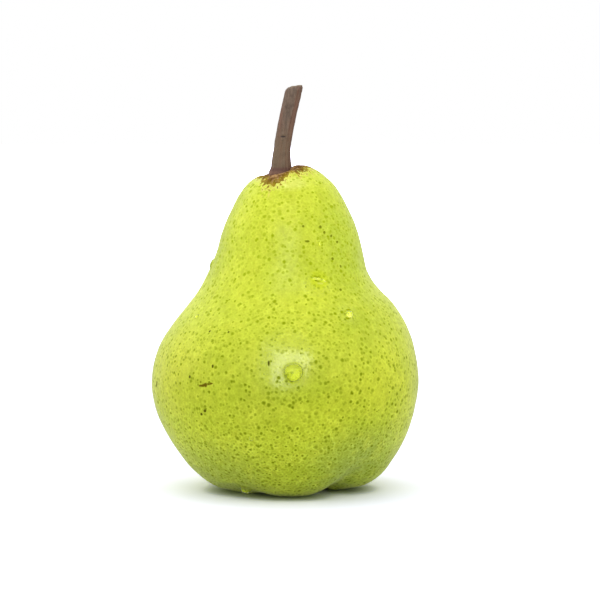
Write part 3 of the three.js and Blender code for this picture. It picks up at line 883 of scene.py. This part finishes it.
def drop_light(place):
    """How much the drops' painted light brightens the skin at a place, less than 0 where their painted shade
    darkens it.
    """
    light = 0
    for bead in DROPS:
        away = place - Vector(bead["at"])
        inside = fade(*DROP_LIGHT_RIM, away.length / bead["wide"])
        aslant = LENS_ASLANT * away.x / bead["wide"] - away.z / bead["long"]
        light += inside * (bead["glow"] + bead["lens"] * aslant)
    return max(-1, min(1, light))


def film_strength(place):
    """How strong the film of water is at a place."""
    return max(f["strength"] * fade(*FILM_RIM, share_out(place, f)) for f in FILMS)


def cover(place):
    """How far a drop covers a place."""
    return max(fade(*DROP_RIM, (place - Vector(bead["at"])).length / bead["wide"]) for bead in DROPS)


def make_skin():
    """The fruit's skin, from its solid: the socket and the pit become a rolled collar and a closed basin.

    Its points carry what the material reads: cork, painted light and shade under drops, films of water, what
    drops cover."""
    skin = copy_of_node("fruit", "pear_skin")
    edit(skin)
    roll_in(skin, lambda height: height > CROWN_FLOOR, STEM_CENTRE, SOCKET_RADIUS, SOCKET_ROLL)
    roll_in(skin, lambda height: height < FOOT_CEILING, CALYX_CENTRE, PIT_RADIUS, PIT_ROLL)
    subdivide_smooth(skin, SKIN_LEVELS)
    sculpt(skin, swell)
    # wet is the painted light and painted shade of the drops
    reads = {"cork_depth": cork_depth, "wet": drop_light, "film": film_strength, "covered": cover}
    for name, read in reads.items():
        values = [read(v.co / MM) for v in skin.data.vertices]
        skin.data.attributes.new(name, "FLOAT", "POINT").data.foreach_set("value", values)
    return skin


def rough(place, waves):
    """The rise of some sizes of waves at a place."""
    return sum(high * noise.noise(place * fine) for high, fine in waves)


def weather(place, normal):
    """How the bark moves from its solid: ridges along it, a scar, a spread foot and a torn end."""
    outward = Vector((normal.x, normal.y, 0))
    around = Vector((normal.x * RIDGES_ROUND, normal.y * RIDGES_ROUND, place.z * RIDGES_ALONG))
    rise = rough(around, RIDGES) + rough(place, ROUGHNESS)
    over_scar = (place.z - SCAR_AT[2] - RIDGE_LIFT) / RIDGE_HALF
    rise += RIDGE_RISE * math.exp(-(over_scar**2)) * max(0, -normal.y)
    rise += SCAR_DENT["rise"] * math.exp(-(share_out(place, SCAR_DENT) ** 2))
    rise += fade(*STEM_FOOT, place.z) * (FOOT_SPREAD + FOOT_SPREAD_LEFT * max(0, -normal.x) ** 2)
    torn = fade(*TORN_END, place.z) * TORN_RISE * noise.noise(place * TORN_FINE)
    return outward * rise + Vector((0, 0, torn))


def make_stem():
    """The stem, from its solid, with weathered bark."""
    stem = copy_of_node("stem", "stem_bark")
    subdivide_smooth(stem, STEM_LEVELS)
    sculpt(stem, weather)
    return stem


def crumple(place, normal):
    """How the sepals move from their solid."""
    return normal * rough(place, CRUMPLES)


def make_calyx():
    """The dry calyx, from its solid, crumpled."""
    calyx = copy_of_node("calyx", "calyx_sepals")
    subdivide_smooth(calyx, CALYX_LEVELS)
    sculpt(calyx, crumple)
    return calyx


def make_drops(skin):
    """The drops of water, each a closed dome that sits on the skin."""
    surface = BVHTree.FromObject(skin, bpy.context.evaluated_depsgraph_get())
    domes = []
    for bead in DROPS:
        where, normal, _, _ = surface.find_nearest(mm(*bead["at"]))
        deselect_all()
        bpy.ops.mesh.primitive_uv_sphere_add(segments=40, ring_count=24, radius=MM)
        dome = bpy.context.object
        dome.name = "drop_" + bead["name"].replace(" ", "_")
        bpy.ops.object.mode_set(mode="EDIT")
        bpy.ops.mesh.select_all(action="SELECT")
        bpy.ops.mesh.bisect(plane_co=(0, 0, 0), plane_no=(0, 0, 1), clear_inner=True, use_fill=True)
        bpy.ops.object.mode_set(mode="OBJECT")
        up = (Vector((0, 0, 1)) - normal * normal.z).normalized()
        stand = Matrix((up.cross(normal), up, normal)).transposed()
        turned = stand @ Matrix.Rotation(math.radians(bead["turn"]), 3, "Z")
        wobble = Vector(bead["at"]) * DROP_VARIETY

        for vertex in dome.data.vertices:
            x, y, z = vertex.co / MM
            wide = 1 + DROP_WOBBLE * noise.noise(Vector((x, y, 0)) * DROP_WAVES + wobble)
            local = mm(
                x * bead["wide"] / 2 * wide,
                y * bead["long"] / 2 * wide,
                z * (bead["tall"] + DROP_SINK) - DROP_SINK,
            )
            vertex.co = where + turned @ local
        take_up(dome)
        bpy.ops.object.shade_smooth_by_angle(angle=math.radians(DROP_EDGE))
        domes.append(dome)
    deselect_all()
    for dome in domes:
        dome.select_set(True)
    bpy.context.view_layer.objects.active = domes[0]
    bpy.ops.object.join()
    beads = bpy.context.object
    beads.name = beads.data.name = "water_drops"
    return beads


# ---- camera, light and floor ----


def make_camera():
    """A long lens in front of the pear, a little above it."""
    elevation = math.radians(CAMERA_ELEVATION)
    back = Vector((0, -math.cos(elevation), math.sin(elevation)))
    data = bpy.data.cameras.new("camera")
    data.sensor_width = SENSOR
    data.lens = SENSOR * CAMERA_DISTANCE / FRAME_WIDTH
    data.clip_start, data.clip_end = 0.01, 100
    camera = bpy.data.objects.new("camera", data)
    camera.location = mm(*CAMERA_TARGET) + back * CAMERA_DISTANCE * MM
    camera.rotation_euler = (-back).to_track_quat("-Z", "Y").to_euler()
    bpy.context.scene.collection.objects.link(camera)
    bpy.context.scene.camera = camera


def make_softboxes():
    """The softboxes, all aimed at the pear and out of sight themselves."""
    for box in [*SOFTBOXES, SHINE]:
        azimuth, elevation = math.radians(box["azimuth"]), math.radians(box["elevation"])
        level = math.cos(elevation)
        way = Vector((math.sin(azimuth) * level, -math.cos(azimuth) * level, math.sin(elevation)))
        data = bpy.data.lights.new(box["name"], "AREA")
        data.shape = "RECTANGLE"
        data.size, data.size_y = box["wide"] * MM, box["tall"] * MM
        data.energy = box["radiance"] * math.pi * data.size * data.size_y
        lamp = bpy.data.objects.new(box["name"], data)
        lamp.location = mm(*LIGHT_AIM) + way * box["distance"] * MM
        lamp.rotation_euler = (-way).to_track_quat("-Z", "Y").to_euler()
        lamp.visible_camera = False
        lamp.visible_diffuse = box is not SHINE
        bpy.context.scene.collection.objects.link(lamp)


def make_room():
    """A white room that looks pure white but lights the pear more gently."""
    world = bpy.data.worlds.new("white_room")
    bpy.context.scene.world = world
    world.use_nodes = True
    world.node_tree.nodes.clear()
    add = partial(add_node, world.node_tree)
    seen = add("LightPath", out="Is Camera Ray")
    glow = add("MapRange", None, {0: seen, 3: ROOM_GLOW, 4: 1.0})
    room = add("Background", None, {"Color": paint("#ffffff"), "Strength": glow})
    add("OutputWorld", None, {"Surface": room})
    bpy.context.scene.view_settings.view_transform = "Standard"


def make_floor():
    """A sheet of white paper under the pear."""
    deselect_all()
    bpy.ops.mesh.primitive_plane_add(size=FLOOR_SIDE * MM)
    floor = bpy.context.object
    floor.name = "floor"
    floor.data.materials.append(make_floor_material())


make_camera()
make_softboxes()
make_room()
make_floor()

skin = make_skin()
hand_in(skin, make_skin_material(), "fruit")
stem = make_stem()
hand_in(stem, make_bark_material(), "stem")
calyx = make_calyx()
hand_in(calyx, make_sepal_material(), "calyx")
drops = make_drops(skin)
hand_in(drops, make_water_material())
